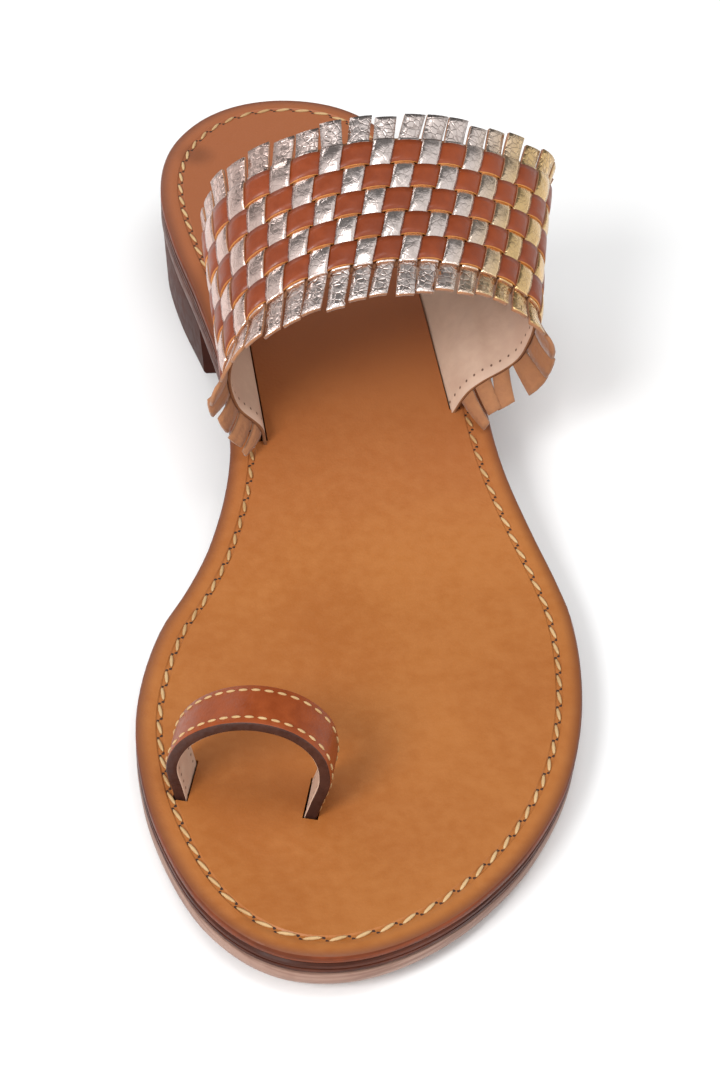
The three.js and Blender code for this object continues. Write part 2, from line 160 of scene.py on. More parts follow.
# %% Points on the outline
def edge_plain(angle):
    wrapped = (angle + math.pi) % (2 * math.pi) - math.pi
    return Vector((edge_x(wrapped), SOLE_LENGTH * (1 - math.cos(angle)) / 2))


def edge_point(angle, inset):
    tangent = (edge_plain(angle + 1e-3) - edge_plain(angle - 1e-3)).normalized()
    return edge_plain(angle) + Vector((-tangent.y, tangent.x)) * inset


low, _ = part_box("footbed")
widest = min(edge_x(a) for a in np.linspace(-math.pi, 0, 400))
SHIFT = Vector((low.x * 1000 - widest, low.y * 1000, 0))


def in_metres(x, y, z):
    return (Vector((x, y, z)) + SHIFT) / 1000


print("shift from the tables to the model, mm:", [round(v, 2) for v in SHIFT])

# %% [markdown]
# ## Shader sums as Python
# Nodes could be wired one by one, but a sum of five terms is then hard to read. A `Wire` is one output in
# a material. Sums of wires add Math nodes, and `node` adds any other node: its settings first, then the
# values or wires of its sockets.

# %% Wires
class Wire:
    def __init__(self, tree, socket=None):
        self.tree, self.socket = tree, socket

    def node(self, kind, settings=None, inputs=None, out=0):
        made = self.tree.nodes.new("ShaderNode" + kind)
        for key, value in (settings or {}).items():
            if key != "stops":
                setattr(made, key, value)
                continue
            stops = made.color_ramp.elements
            stops.remove(stops[1])
            stops[0].position, stops[0].color = value[0]
            for place, colour in value[1:]:
                stops.new(place).color = colour
        for key, value in (inputs or {}).items():
            if isinstance(value, Wire):
                self.tree.links.new(value.socket, made.inputs[key])
            else:
                made.inputs[key].default_value = value
        return Wire(self.tree, made.outputs[out] if len(made.outputs) else None)

    def __add__(self, other):
        return self.node("Math", {"operation": "ADD"}, {0: self, 1: other})

    __radd__ = __add__

    def __sub__(self, other):
        return self.node("Math", {"operation": "SUBTRACT"}, {0: self, 1: other})

    def __rsub__(self, other):
        return self.node("Math", {"operation": "SUBTRACT"}, {0: other, 1: self})

    def __mul__(self, other):
        return self.node("Math", {"operation": "MULTIPLY"}, {0: self, 1: other})

    __rmul__ = __mul__


print("wires add, subtract and multiply")

# %% [markdown]
# ## Words for the nodes used most
# Leather and foil need the same few things: a colour blended by a share, a smooth step between two
# values, soft or cell-like noise, and a relief. Each gets a short name here. `finish` then joins a recipe
# to one Principled shader, with what is the same all over set on the shader itself.

# %% Blends, patterns and relief
def srgb(code):
    parts = [int(code[n : n + 2], 16) / 255 for n in (1, 3, 5)]
    return (*(c / 12.92 if c <= 0.04045 else ((c + 0.055) / 1.055) ** 2.4 for c in parts), 1.0)


def blend(share, first, second):
    return share.node("Mix", {"data_type": "RGBA"}, {0: share, 6: first, 7: second}, 2)


def between(value, low_end, high_end, first=0.0, second=1.0):
    inputs = {0: value, 1: low_end, 2: high_end, 3: first, 4: second}
    return value.node("MapRange", {"interpolation_type": "SMOOTHSTEP"}, inputs)


def noise(coords, scale, detail=3.0):
    return coords.node("TexNoise", None, {"Vector": coords, "Scale": scale, "Detail": detail})


def cells(coords, scale, feature="F1"):
    return coords.node("TexVoronoi", {"feature": feature}, {"Vector": coords, "Scale": scale})


def axis_of(vector, axis):
    return vector.node("SeparateXYZ", None, {0: vector}, axis)


def bump(height, strength, distance):
    inputs = {"Height": height, "Strength": strength, "Distance": distance}
    return height.node("Bump", None, inputs, "Normal")


def finish(name, recipe, **constants):
    material = bpy.data.materials.new(name)
    material.use_nodes = True
    material.node_tree.nodes.clear()
    coords = Wire(material.node_tree).node("TexCoord", out="Object")
    shader = coords.node("BsdfPrincipled", None, {**constants, **recipe(coords)})
    coords.node("OutputMaterial", None, {"Surface": shader})
    print("finish:", name, len(material.node_tree.nodes), "nodes")
    return material


print("a middle grey as the shader sees it:", round(srgb("#808080")[0], 3))

# %% [markdown]
# ## Leather recipes
# Vegetable-tanned leather has a fine pore grain, slow blotches of tone and a soft gloss. Photographs of
# leather could be wrapped around the pieces, but patterns in object space need no unwrapping and run on
# from piece to piece. The footbed is redder and darker to the heel: partly its own tone, partly painted
# shade under the band and a painted sheen on the heel. It is burnished at its rim and has one old stain.

# %% Leather recipes
STAIN = (-0.026, 0.103, 0.0245)


def leather(light, dark, grain=1500.0, relief=0.00012, gloss=(0.36, 0.5)):
    def recipe(coords):
        blotch = noise(coords, 28.0, 4.0)
        fine = noise(coords, 420.0)
        pores = cells(coords, grain)
        tone = between(blotch * 0.7 + fine * 0.3, 0.34, 0.66)
        return {
            "Base Color": blend(tone, srgb(dark), srgb(light)),
            "Roughness": between(fine, 0.3, 0.7, *gloss),
            "Normal": bump(pores * 0.7 + fine * 0.5, 0.35, relief),
        }

    return recipe


def shaded_to_heel(light, dark, heel_tone, start, end, **options):
    def recipe(coords):
        made = leather(light, dark, **options)(coords)
        heelward = between(axis_of(coords, "Y"), start, end)
        made["Base Color"] = blend(heelward, made["Base Color"], srgb(heel_tone))
        return made

    return recipe


def footbed_recipe(coords):
    options = {"relief": 0.0001, "gloss": (0.42, 0.54)}
    # the heelward tone is partly the leather's own redder tone, partly painted shade under the band and a
    # painted sheen on the heel
    made = shaded_to_heel("#a66731", "#9b5b28", "#985936", -0.03, 0.08, **options)(coords)
    spot = coords.node("VectorMath", {"operation": "DISTANCE"}, {0: coords, 1: STAIN}, "Value")
    stained = blend(between(spot, 0.001, 0.006, 0.4, 0.0), made["Base Color"], srgb("#4c2a1c"))
    burnish = coords.node("Attribute", {"attribute_name": "burnish"}, out="Fac")
    made["Base Color"] = blend(between(burnish, 0.2, 0.9, 0.0, 0.8), stained, srgb("#5d2c17"))
    return made


def fibre_lines(recipe, dark):
    def lined(coords):
        made = recipe(coords)
        stretch = {0: coords, 1: (45.0, 45.0, 1400.0)}
        squeezed = coords.node("VectorMath", {"operation": "MULTIPLY"}, stretch)
        lines = noise(squeezed, 1.0)
        made["Base Color"] = blend(between(lines, 0.4, 0.62, 0.0, 0.55), made["Base Color"], srgb(dark))
        made["Normal"] = bump(lines, 0.5, 0.0002)
        return made

    return lined


def coat(weight, roughness=0.2, specular=0.35):
    return {"Coat Weight": weight, "Coat Roughness": roughness, "Specular IOR Level": specular}


print("the stain lies", round(STAIN[1] * 1000), "mm behind the middle")

# %% [markdown]
# ## Leather finishes
# Each leather of the sandal is one recipe with its own two tones. Cut edges show the hide's fibres, or
# are burnished or painted, so they get finishes of their own in place of the top's colour.

# %% Leather finishes
FOOTBED_LEATHER = finish("footbed_leather", footbed_recipe, **coat(0.06, 0.4))
TAN_LEATHER = finish("tan_strip_leather", leather("#873a12", "#722e0d", 1700.0), **coat(0.12))
LOOP_LEATHER = finish("loop_leather", leather("#934416", "#793410", 1700.0), **coat(0.1, 0.3, 0.25))
heel_side = leather("#48241b", "#341811", 600.0, 0.00008)
HEEL_LEATHER = finish("heel_leather", heel_side, **coat(0.03, 0.3, 0.08))
midsole_edge = fibre_lines(leather("#5a3022", "#432117"), "#2c1610")
MID_LEATHER = finish("midsole_edge", midsole_edge, **coat(0.03, 0.3, 0.1))
tread_edge = shaded_to_heel("#9c7e70", "#8a6a5c", "#482720", -0.1, -0.01)
OUT_LEATHER = finish("outsole_edge", fibre_lines(tread_edge, "#6d4c40"), **coat(0.08, 0.3, 0.2))
footbed_rim = fibre_lines(leather("#7a3a1d", "#5c2a14"), "#45200f")
RIM_LEATHER = finish("burnished_rim", footbed_rim, **coat(0.02, 0.4, 0.12))
TAN_EDGE = finish("tan_cut_edge", leather("#c88848", "#ad6c33", 1200.0), **coat(0.0))
EDGE_PAINT = finish("edge_paint", leather("#4b2c22", "#331c16", 900.0, 0.0004), **coat(0.05, 0.4, 0.2))
RAW_EDGE = finish("raw_edge", leather("#9a683f", "#73472a", 900.0, 0.0004, (0.75, 0.9)))
suede_back = leather("#a97650", "#8f5e3b", 1100.0, 0.0005, (0.8, 0.95))
SUEDE = finish("suede_back", suede_back, **{"Sheen Weight": 0.2})
# painted shade for the awl holes
HOLE = finish("awl_hole", leather("#3c2013", "#29150c", 900.0, 0.0001, (0.7, 0.9)))
THREAD = finish("waxed_thread", leather("#c4a578", "#a98455", 2600.0, 0.0002, (0.55, 0.7)))

# %% [markdown]
# ## Foil
# The shiny strips are leather with a metal foil, a little wrinkled and cracked. Its tint runs from rose
# over silver to gold around the arch. Separate materials could do that in steps. Here a colour ramp reads
# the place around the arch, which each strip carries as an attribute, so one material serves all.

# %% Foil
FOIL_TINTS = [
    (0.0, srgb("#cda79b")), (0.28, srgb("#dbc1b7")), (0.42, srgb("#e8dbd6")), (0.58, srgb("#e4d6cf")),
    (0.68, srgb("#dfbd86")), (0.8, srgb("#dcb680")), (0.9, srgb("#d3afa6")), (1.0, srgb("#c4a099")),
]


def foil(crackle, gloss):
    def recipe(coords):
        around = coords.node("Attribute", {"attribute_name": "around"}, out="Fac")
        tint = around.node("ValToRGB", {"stops": FOIL_TINTS}, {0: around})
        flakes = cells(coords, 700.0, "DISTANCE_TO_EDGE")
        crease = noise(coords, 520.0)
        wide = noise(coords, 130.0, 2.0)
        cracks = between(flakes, 0.0, 0.12, crackle, 0.0)
        return {
            "Base Color": blend(cracks, tint, srgb("#6d5347")),
            "Roughness": between(crease, 0.3, 0.7, *gloss),
            "Normal": bump(crease * 0.6 + wide * 1.6 - cracks * 0.5, 0.6, 0.0003 + 0.0005 * crackle),
        }

    return recipe


STRIP_FOIL = finish("strip_foil", foil(0.15, (0.16, 0.3)), **{"Metallic": 1.0})
TAB_FOIL = finish("tab_foil", foil(0.4, (0.18, 0.36)), **{"Metallic": 1.0})

# %% [markdown]
# ## Lining
# The inside is matt kid, with a row of needle holes along both edges. The holes are far too small and
# many to cut, so they are dots of painted shade, placed in millimetres on the piece's own UV map.

# %% Lining
def lining(length, width, margin, pitch):
    def recipe(coords):
        made = leather("#cbaf99", "#bb9c88", 1300.0, 0.0001, (0.6, 0.75))(coords)
        uv = coords.node("UVMap", {"uv_map": "UVMap"})
        along, across = axis_of(uv, "X"), axis_of(uv, "Y")
        step = along.node("Math", {"operation": "FRACT"}, {0: along * (length / pitch)})
        edges = {0: across * width, 1: (1 - across) * width}
        from_edge = across.node("Math", {"operation": "MINIMUM"}, edges)
        side = (step - 0.5) * pitch
        out = from_edge - margin
        far = side.node("Math", {"operation": "SQRT"}, {0: side * side + out * out})
        # the dark dots are painted shade in the needle holes
        made["Base Color"] = blend(between(far, 0.2, 0.42, 1.0, 0.0), made["Base Color"], srgb("#5b3d2d"))
        return made

    return recipe


LOOP_SEAM, LOOP_PITCH = 1.5, 2.1
BAND_LINING = finish("band_lining", lining(length=165, width=42, margin=2.6, pitch=2.5))
LOOP_LINING = finish("loop_lining", lining(length=72, width=10, margin=LOOP_SEAM, pitch=LOOP_PITCH))

# %% [markdown]
# ## One way to finish a piece
# Each piece is a bmesh until its shape is right. Then it becomes an object at the origin, is shaded
# smooth with its sharp edges kept, rides on the sandal's one body and stands for its solid. Leather cut
# from a sheet is modelled as one face of it, and a Solidify modifier adds the thickness behind.

# %% Finishing a piece
def piece(name, bm, materials, stands_for=(), sharp=38):
    mesh = bpy.data.meshes.new(name)
    bm.to_mesh(mesh)
    bm.free()
    for material in materials:
        mesh.materials.append(material)
    mesh.shade_smooth()
    mesh.set_sharp_from_angle(angle=math.radians(sharp))
    obj = bpy.data.objects.new(name, mesh)
    scene.collection.objects.link(obj)
    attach(obj, "root")
    if stands_for:
        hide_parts(*stands_for)
    print("piece:", name, len(mesh.polygons), "faces")
    return obj


def thicken(obj, thickness, back=1, rim=1):
    wall = obj.modifiers.new("thickness", "SOLIDIFY")
    wall.thickness, wall.offset = thickness / 1000, -1
    wall.use_even_offset = True
    wall.material_offset, wall.material_offset_rim = back, rim
    print("thickness of", obj.name, thickness, "mm")


# %% [markdown]
# ## The sole's layers
# A sole is cut from sheets, so each layer is its outline raised step by step: a circle of points is put
# on the outline, and each new ring is extruded from the last one and moved to its own inset and height.
# One extrusion with a bevel would be shorter, but the insets give each edge the profile it was filed to.
# The top and the bottom are closed and split by rungs, because the sheet curves along its length.

# %% Rings
def ring_edges(bm, ring):
    return [bm.edges.get((ring[k - 1], ring[k])) for k in range(len(ring))]


def next_ring(bm, ring):
    made = bmesh.ops.extrude_edge_only(bm, edges=ring_edges(bm, ring))["geom"]
    fresh = {v for v in made if isinstance(v, bmesh.types.BMVert)}
    return [next(e.other_vert(v) for e in v.link_edges if e.other_vert(v) in fresh) for v in ring]


def set_ring(bm, ring, walk, inset, height):
    burnish = bm.verts.layers.float["burnish"]
    for vert, angle in zip(ring, walk):
        x, y = edge_point(angle, inset)
        vert.co = in_metres(x, y, height(y))
        vert[burnish] = max(0.0, 1 - inset / 2)


def close_ring(bm, ring, first_rung):
    bmesh.ops.edgeloop_fill(bm, edges=ring_edges(bm, ring))
    for k in range(first_rung, len(ring) // 2):
        bmesh.ops.connect_verts(bm, verts=[ring[k], ring[first_rung - 1 - k]])


def stack_of(rows, walk, first_rung=1):
    bm = bmesh.new()
    bm.verts.layers.float.new("burnish")
    ring = bmesh.ops.create_circle(bm, cap_ends=False, segments=len(walk), radius=1)["verts"]
    lowest = ring
    for number, (inset, height) in enumerate(rows):
        if number:
            ring = next_ring(bm, ring)
        set_ring(bm, ring, walk, inset, height)
    side_faces = set(bm.faces)
    close_ring(bm, lowest, first_rung)
    close_ring(bm, ring, first_rung)
    bmesh.ops.recalc_face_normals(bm, faces=bm.faces)
    return bm, side_faces


def over(underside, rows):
    return [(inset, lambda y, up=up: underside(y) + up) for inset, up in rows]


STATIONS = 240
whole_walk = [-math.pi + 2 * math.pi * k / STATIONS for k in range(STATIONS)]
print("each layer has", STATIONS, "points around")

# %% [markdown]
# ## Outsole and midsole
# The outsole's edge is rounded below, where it meets the floor. The dark midsole has a fine groove around
# the middle of its edge. It could be made of two pieces, but a few rows that step in and out are enough.

# %% Outsole and midsole
OUTSOLE_ROWS = [  # inset, height over the underside
    (1.3, 0.0), (0.7, 0.25), (0.35, 0.8), (0.2, 1.5), (0.2, 2.6), (0.35, 3.0), (0.7, 3.2),
]
MIDSOLE_ROWS = [
    (0.6, 0.0), (0.2, 0.3), (0.1, 0.6), (0.1, 1.1), (0.4, 1.2),
    (0.4, 1.35), (0.1, 1.45), (0.1, 2.1), (0.5, 2.5),
]
bm, _ = stack_of(over(tread, OUTSOLE_ROWS), whole_walk)
piece("outsole_leather", bm, [OUT_LEATHER], ["outsole"])
bm, _ = stack_of(over(lambda y: tread(y) + OUTSOLE + GAP, MIDSOLE_ROWS), whole_walk)
piece("midsole_leather", bm, [MID_LEATHER], ["midsole"])

# %% [markdown]
# ## The heel
# The block follows the sole's outline from its end to the breast, the straight front face, and tapers to
# the floor. A cube could be cut to shape, but the same rings make it, on a walk that covers only the heel.

# %% The heel block
BREAST, HEEL_STATIONS = angle_of(0.706), 90
heel_walk = list(np.linspace(BREAST, 2 * math.pi - BREAST, HEEL_STATIONS))
HEEL_ROWS = [
    *over(lambda y: 0.0, [(2.5, 0.0), (2.0, 0.5)]),
    *over(lambda y: tread(y) - GAP, [(0.65, -0.6), (0.9, 0.0)]),
]
bm, _ = stack_of(HEEL_ROWS, heel_walk, first_rung=0)
piece("heel_block", bm, [HEEL_LEATHER], ["heel"])

# %% [markdown]
# ## The footbed
# The top sheet has a rounded, burnished rim and a shallow groove that the stitches lie in. Both come from
# the rows of its stack, and the faces below its top get the rim's finish.

# %% The footbed with its groove
STITCH_INSET, RIM_DEPTH = 4.5, 0.3
FOOTBED_ROWS = [
    (0.3, 0.0), (0.0, 0.4), (0.0, 1.35), (0.18, 1.75), (0.6, 2.0),
    (3.7, 2.0), (4.0, 1.75), (5.0, 1.75), (5.3, 2.0),
]
bm, side_faces = stack_of(over(lambda y: footbed_top(y) - FOOTBED, FOOTBED_ROWS), whole_walk)
for face in side_faces:
    middle = face.calc_center_median() * 1000 - SHIFT
    if middle.z < footbed_top(middle.y) - RIM_DEPTH:
        face.material_index = 1
footbed = piece("footbed_sheet", bm, [FOOTBED_LEATHER, RIM_LEATHER], ["footbed"])

# %% [markdown]
# ## The band's surface
# The band is ruled: straight lines join its front edge to its rear edge, and both edges are arches from
# the slit on the big toe's side over the instep to the slit on the other side. Each edge leans forwards.
# The weave, the fringe and the lining all ask this one surface for their places, so they stay together.

# %% The band's surface
ARCH = [  # front x, front rise, rear x, rear rise over the footbed
    (-12.4, 0.0, -15.0, 0.0), (-13.4, 4.5, -15.8, 4.5), (-18.8, 11.5, -20.6, 12.0),
    (-20.6, 20.5, -21.8, 21.0), (-15.8, 32.5, -17.0, 32.0), (-5.0, 39.6, -5.6, 39.6),
    (8.0, 41.2, 9.0, 42.6), (21.6, 38.8, 24.6, 40.0), (34.4, 32.4, 39.6, 32.6),
    (43.2, 23.0, 50.6, 23.0), (41.4, 13.0, 48.4, 12.6), (30.6, 5.4, 28.8, 5.4), (27.5, 0.0, 24.0, 0.0),
]
COLUMNS, ROWS = 28, 5
PLAIN = 0.02  # share of the arch at each end that has no foil strip
FRONT_SLITS, REAR_SLITS = (138, 145), (182, 188)
FRONT_LEAN, REAR_LEAN = 1, 20


def arch_edge(column, slits, lean):
    points = []
    for row in ARCH:
        x, rise = row[column], row[column + 1]
        share = (x - ARCH[0][column]) / (ARCH[-1][column] - ARCH[0][column])
        y = slits[0] + (slits[1] - slits[0]) * share
        floor_y = min(max(y, slits[0]), slits[1])
        points.append((x, y - rise * math.tan(math.radians(lean)), footbed_top(floor_y) + rise))
    return even_path(points)


FRONT, REAR = arch_edge(0, FRONT_SLITS, FRONT_LEAN), arch_edge(2, REAR_SLITS, REAR_LEAN)
FRONT_RUN, REAR_RUN = np.gradient(FRONT, axis=0), np.gradient(REAR, axis=0)
ARCH_LENGTH = float(running_length(FRONT + REAR)[-1] / 2)


def band_frame(around, across):
    front, rear = Vector(path_at(FRONT, around)), Vector(path_at(REAR, around))
    along = Vector(path_at(FRONT_RUN, around)).lerp(Vector(path_at(REAR_RUN, around)), across)
    normal = along.cross(rear - front).normalized()
    point = front.lerp(rear, across)
    point.z -= max(0.0, -around, around - 1) * ARCH_LENGTH
    return point, normal, (rear - front).normalized()


def band_point(around, across, out):
    point, normal, _ = band_frame(around, across)
    return in_metres(*(point + normal * out))


def column_share(place):
    return PLAIN + (1 - 2 * PLAIN) * place / COLUMNS


def past_both_ends(share, past):
    return -past + (1 + 2 * past) * share


print(f"the arch is {ARCH_LENGTH:.0f} mm long")

# %% [markdown]
# ## Plaiting
# In a plain weave each strip goes over one, under one. A sine along the strip gives the turn, and
# squaring it off a little lays the strip flat over each crossing. A cloth simulation could press strips
# together, but a formula gives the same weave each time. Each strip is a flat grid that is bent on to the
# band by its own coordinates, with its long edges turned down a little.

# %% Bending a strip
STRIP = 0.62
LIFT = 0.4
MIDDLE = 1.66


def turn(wave):
    return math.tanh(1.4 * wave) / math.tanh(1.4)


def edge_drop(across_strip, drop, power=3):
    return drop * abs(2 * across_strip - 1) ** power


def strip_mesh():
    bm = bmesh.new()
    bm.loops.layers.uv.new("UVMap")
    bm.verts.layers.float.new("around")
    return bm


def bent_grid(bm, columns, rows, place, around_of):
    layer = bm.verts.layers.float["around"]
    made = bmesh.ops.create_grid(bm, x_segments=columns, y_segments=rows, size=0.5, calc_uvs=True)["verts"]
    for vert in made:
        s, t = vert.co.x + 0.5, vert.co.y + 0.5
        vert[layer] = around_of(s, t)
        vert.co = place(s, t)


print(f"the weave is {2 * LIFT + STRIP:.2f} mm thick")

# %% [markdown]
# ## Foil strips
# The foil strips cross the band from its front edge to its rear edge, each a little narrower than its
# place, so that dark gaps show between them. Neighbours start with opposite turns.

# %% Foil strips
FOIL_WIDTH, FOIL_DROP, FOIL_PAST = 0.84, 0.16, 0.012


def foil_strip(bm, column):
    def around(s, t):
        return column_share(column + 0.5 + (s - 0.5) * FOIL_WIDTH)

    def place(s, t):
        across = past_both_ends(t, FOIL_PAST)
        wave = turn((-1) ** column * math.sin(ROWS * math.pi * min(max(across, 0), 1)))
        return band_point(around(s, t), across, MIDDLE + LIFT * wave - edge_drop(s, FOIL_DROP))

    bent_grid(bm, 5, 60, place, around)


bm = strip_mesh()
for column in range(COLUMNS):
    foil_strip(bm, column)
thicken(piece("foil_strips", bm, [STRIP_FOIL, SUEDE], ["woven_band"]), STRIP)

# %% [markdown]
# ## Tan strips
# Five tan strips run the other way, around the arch and down into the slits. Their turn is the opposite
# of the foil's at every crossing, so where one dips, the other rises.

# %% Tan strips
TAN_WIDTH, TAN_DROP, SLIT_PAST = 0.9, 0.1, 0.006


def tan_strip(bm, row):
    def around(s, t):
        return past_both_ends(s, SLIT_PAST)

    def place(s, t):
        share = min(max((around(s, t) - PLAIN) / (1 - 2 * PLAIN), 0), 1)
        wave = turn(-((-1) ** row) * math.sin(COLUMNS * math.pi * share))
        across = (row + 0.5 + (t - 0.5) * TAN_WIDTH) / ROWS
        return band_point(around(s, t), across, MIDDLE + LIFT * wave - edge_drop(t, TAN_DROP))

    bent_grid(bm, COLUMNS * 8, 4, place, around)


bm = strip_mesh()
for row in range(ROWS):
    tan_strip(bm, row)
thicken(piece("tan_strips", bm, [TAN_LEATHER, TAN_EDGE]), STRIP)

# %% [markdown]
# ## The fringe
# The foil strips end in loose tabs past both edges. The strips could simply run on, but each tab bends in
# its own way, so it is a grid that is tucked under the edge. No two are alike: each gets a little length,
# skew and curl from a seeded random number. Low on the flanks the front tabs stand out further.

# %% Fringe
TAB, TAB_DROP, TUCK, ROOT = 0.7, 0.1, 2.2, 1.2
front_length = curve_through([0, 4, 7, 10, 14, 18, 27], [5.6, 6.0, 7.8, 9.6, 8.8, 7.6, 7.2])
rear_length = curve_through([0, 27], [6.6, 6.6])
chance = random.Random(7)


def fringe_tab(bm, column, edge, length_at, crown_lift, flank_lift):
    unruly = 1 + 1.4 * abs(2 * column / (COLUMNS - 1) - 1) ** 2
    skew = chance.gauss(0, 0.05) * unruly
    curl = chance.uniform(-0.3, 0.5) * unruly
    # the front tabs point the other way, so their grid is mirrored to keep its foil on top
    width = chance.uniform(0.8, 0.88) * (1 if edge else -1)
    length = length_at(column) + chance.uniform(-0.5, 0.6) * unruly

    def around(s, t):
        return column_share(column + 0.5 + (s - 0.5) * width)

    def place(s, t):
        point, normal, rearward = band_frame(around(s, t), edge)
        outwards = rearward if edge else -rearward
        past = -TUCK + t * (length + TUCK)
        share = max(past, 0) / length
        lift = flank_lift + (crown_lift - flank_lift) * max(0, normal.z)
        sideways = normal.cross(outwards) * skew * max(past, 0)
        out = ROOT + (lift + curl) * share**1.6 - edge_drop(s, TAB_DROP)
        return in_metres(*(point + outwards * past + normal * out + sideways))

    bent_grid(bm, 3, 9, place, around)


bm = strip_mesh()
for column in range(COLUMNS):
    fringe_tab(bm, column, 0, front_length, crown_lift=0.3, flank_lift=3.4)
for column in range(COLUMNS):
    fringe_tab(bm, column, 1, rear_length, crown_lift=0.4, flank_lift=0.8)
thicken(piece("fringe_tabs", bm, [TAB_FOIL, SUEDE]), TAB)

# %% [markdown]
# ## The band's lining
# A thin kid lining backs the weave and goes down into the slits. Empty and a little slack, it has a few
# soft dents. Sculpting would make them too, but a short table can be read and changed: each dent has its
# place around the arch and across the band, its reach both ways and its depth.

# %% Lining of the band
LINING_THICK, LINING_PAST = 0.66, 0.03
DENTS = [  # around, across, reach around, reach across, depth
    (0.83, 0.22, 0.022, 0.2, 0.9), (0.78, 0.55, 0.025, 0.2, 0.8), (0.88, 0.5, 0.02, 0.22, 0.9),
    (0.74, 0.2, 0.025, 0.18, 0.7), (0.92, 0.25, 0.016, 0.2, 0.7), (0.14, 0.35, 0.025, 0.22, 0.7),
    (0.08, 0.6, 0.02, 0.2, 0.6),
]


def lining_place(s, t):
    around, across = past_both_ends(s, SLIT_PAST), past_both_ends(1 - t, LINING_PAST)
    hollow = 0.0
    for dent_around, dent_across, reach_around, reach_across, depth in DENTS:
        far = ((around - dent_around) / reach_around) ** 2 + ((across - dent_across) / reach_across) ** 2
        hollow += depth * math.exp(-far)
    return band_point(around, across, -hollow)


bm = strip_mesh()
bent_grid(bm, 180, 14, lining_place, lambda s, t: s)
thicken(piece("band_lining", bm, [BAND_LINING, RAW_EDGE]), LINING_THICK)

# %% [markdown]
# ## The toe loop
# A narrow strap of leather and lining, sewn along both edges and painted on its cut sides. A curve with a
# flat bevel shape would bend as well, but a grid keeps a UV map for the needle holes. The Solidify
# modifier gives its thickness, with a finish each for rim and inside, and a Bevel softens the edges.

# %% The loop's path
LOOP_WIDTH, LOOP_THICK, LOOP_TURN = 10.0, 2.2, math.radians(-15)
LOOP_CENTRE = Vector((-23.7, 43.5))
LOOP_ARCH = [  # across the toe, rise over the footbed
    (-11.0, 0.0), (-11.8, 3.2), (-12.8, 8.0), (-10.8, 13.6), (-5.6, 18.2), (0.8, 20.2),
    (7.4, 19.2), (11.8, 15.4), (13.2, 10.0), (12.0, 4.2), (11.0, 0.0),
]
loop_path = even_path([(across, 0, rise) for across, rise in LOOP_ARCH])
loop_run = np.gradient(loop_path, axis=0)
LOOP_LENGTH = float(running_length(loop_path)[-1])
loop_across = Vector((math.cos(LOOP_TURN), math.sin(LOOP_TURN), 0))
loop_along = Vector((-loop_across.y, loop_across.x, 0))


def loop_point(share, along, out):
    point, run = path_at(loop_path, share), Vector(path_at(loop_run, share)).normalized()
    sunk = max(0.0, -share, share - 1) * LOOP_LENGTH
    across = point[0] - run.z * out
    height = footbed_top(LOOP_CENTRE.y) + point[2] + run.x * out - sunk
    plan = Vector((*LOOP_CENTRE, 0)) + loop_across * across + loop_along * along
    return Vector((plan.x, plan.y, height))


print(f"the loop is {LOOP_LENGTH:.0f} mm long")

# %% Toe loop
LOOP_PAST, LOOP_DROP, LOOP_ROUNDING = 0.016, 0.1, 0.35


def loop_face(s, t):
    out = LOOP_THICK - edge_drop(t, LOOP_DROP, 4)
    return in_metres(*loop_point(past_both_ends(s, LOOP_PAST), LOOP_WIDTH * (t - 0.5), out))


bm = strip_mesh()
bent_grid(bm, 96, 8, loop_face, lambda s, t: s)
toe_loop = piece("toe_loop_strap", bm, [LOOP_LEATHER, EDGE_PAINT, LOOP_LINING], ["toe_loop"])
thicken(toe_loop, LOOP_THICK, back=2)
rounding = toe_loop.modifiers.new("rounded_edges", "BEVEL")
rounding.width, rounding.segments = LOOP_ROUNDING / 1000, 3
rounding.limit_method, rounding.angle_limit = "ANGLE", math.radians(60)

# %% [markdown]
# ## Slits
# Four narrow boxes cut the footbed where the straps go down, as a knife would. Slits could be left open
# while the sheet is built, but a cut through a curved sheet is awkward to model by hand. The Boolean is
# applied at once, so that only the cut sheet stays.

# %% Boxes for the slits
SLIT_CLEAR, SLIT_DEPTH, BAND_TONGUE = 0.35, 12, 1.6
ENDS = ((0.0, -1), (1.0, 1))


def slit_box(bm, start, end, outwards, thickness):
    line = (end - start).normalized()
    centre = (start + end) / 2 + outwards * thickness / 2
    size = Vector(((end - start).length + 2 * SLIT_CLEAR, thickness + 2 * SLIT_CLEAR, SLIT_DEPTH))
    turned = Matrix((line, outwards, Vector((0, 0, 1)))).transposed().to_4x4()
    place = Matrix.Translation(in_metres(*centre)) @ turned @ Matrix.Diagonal((*(size / 1000), 1))
    bmesh.ops.create_cube(bm, size=1, matrix=place)


bm = bmesh.new()
for around, side in ENDS:
    start, end = Vector(path_at(FRONT, around)), Vector(path_at(REAR, around))
    end.z = start.z = (start.z + end.z) / 2
    line = (end - start).normalized()
    slit_box(bm, start, end, Vector((line.y, -line.x, 0)) * side, BAND_TONGUE)
for share, side in ENDS:
    start, end = (loop_point(share, along, 0) for along in (-LOOP_WIDTH / 2, LOOP_WIDTH / 2))
    slit_box(bm, start, end, loop_across * side, LOOP_THICK)
bmesh.ops.recalc_face_normals(bm, faces=bm.faces)
print("boxes for slits:", len(bm.faces) // 6)

# %% Cutting the slits
knife_mesh = bpy.data.meshes.new("knife")
bm.to_mesh(knife_mesh)
bm.free()
knife = bpy.data.objects.new("knife", knife_mesh)
scene.collection.objects.link(knife)
cut = footbed.modifiers.new("slits", "BOOLEAN")
cut.object, cut.operation, cut.solver = knife, "DIFFERENCE", "EXACT"
bpy.context.view_layer.update()
cut_mesh = bpy.data.meshes.new_from_object(footbed.evaluated_get(bpy.context.evaluated_depsgraph_get()))
footbed.modifiers.clear()
footbed.data = cut_mesh
bpy.data.objects.remove(knife)
print("footbed after cutting:", len(cut_mesh.polygons), "faces")
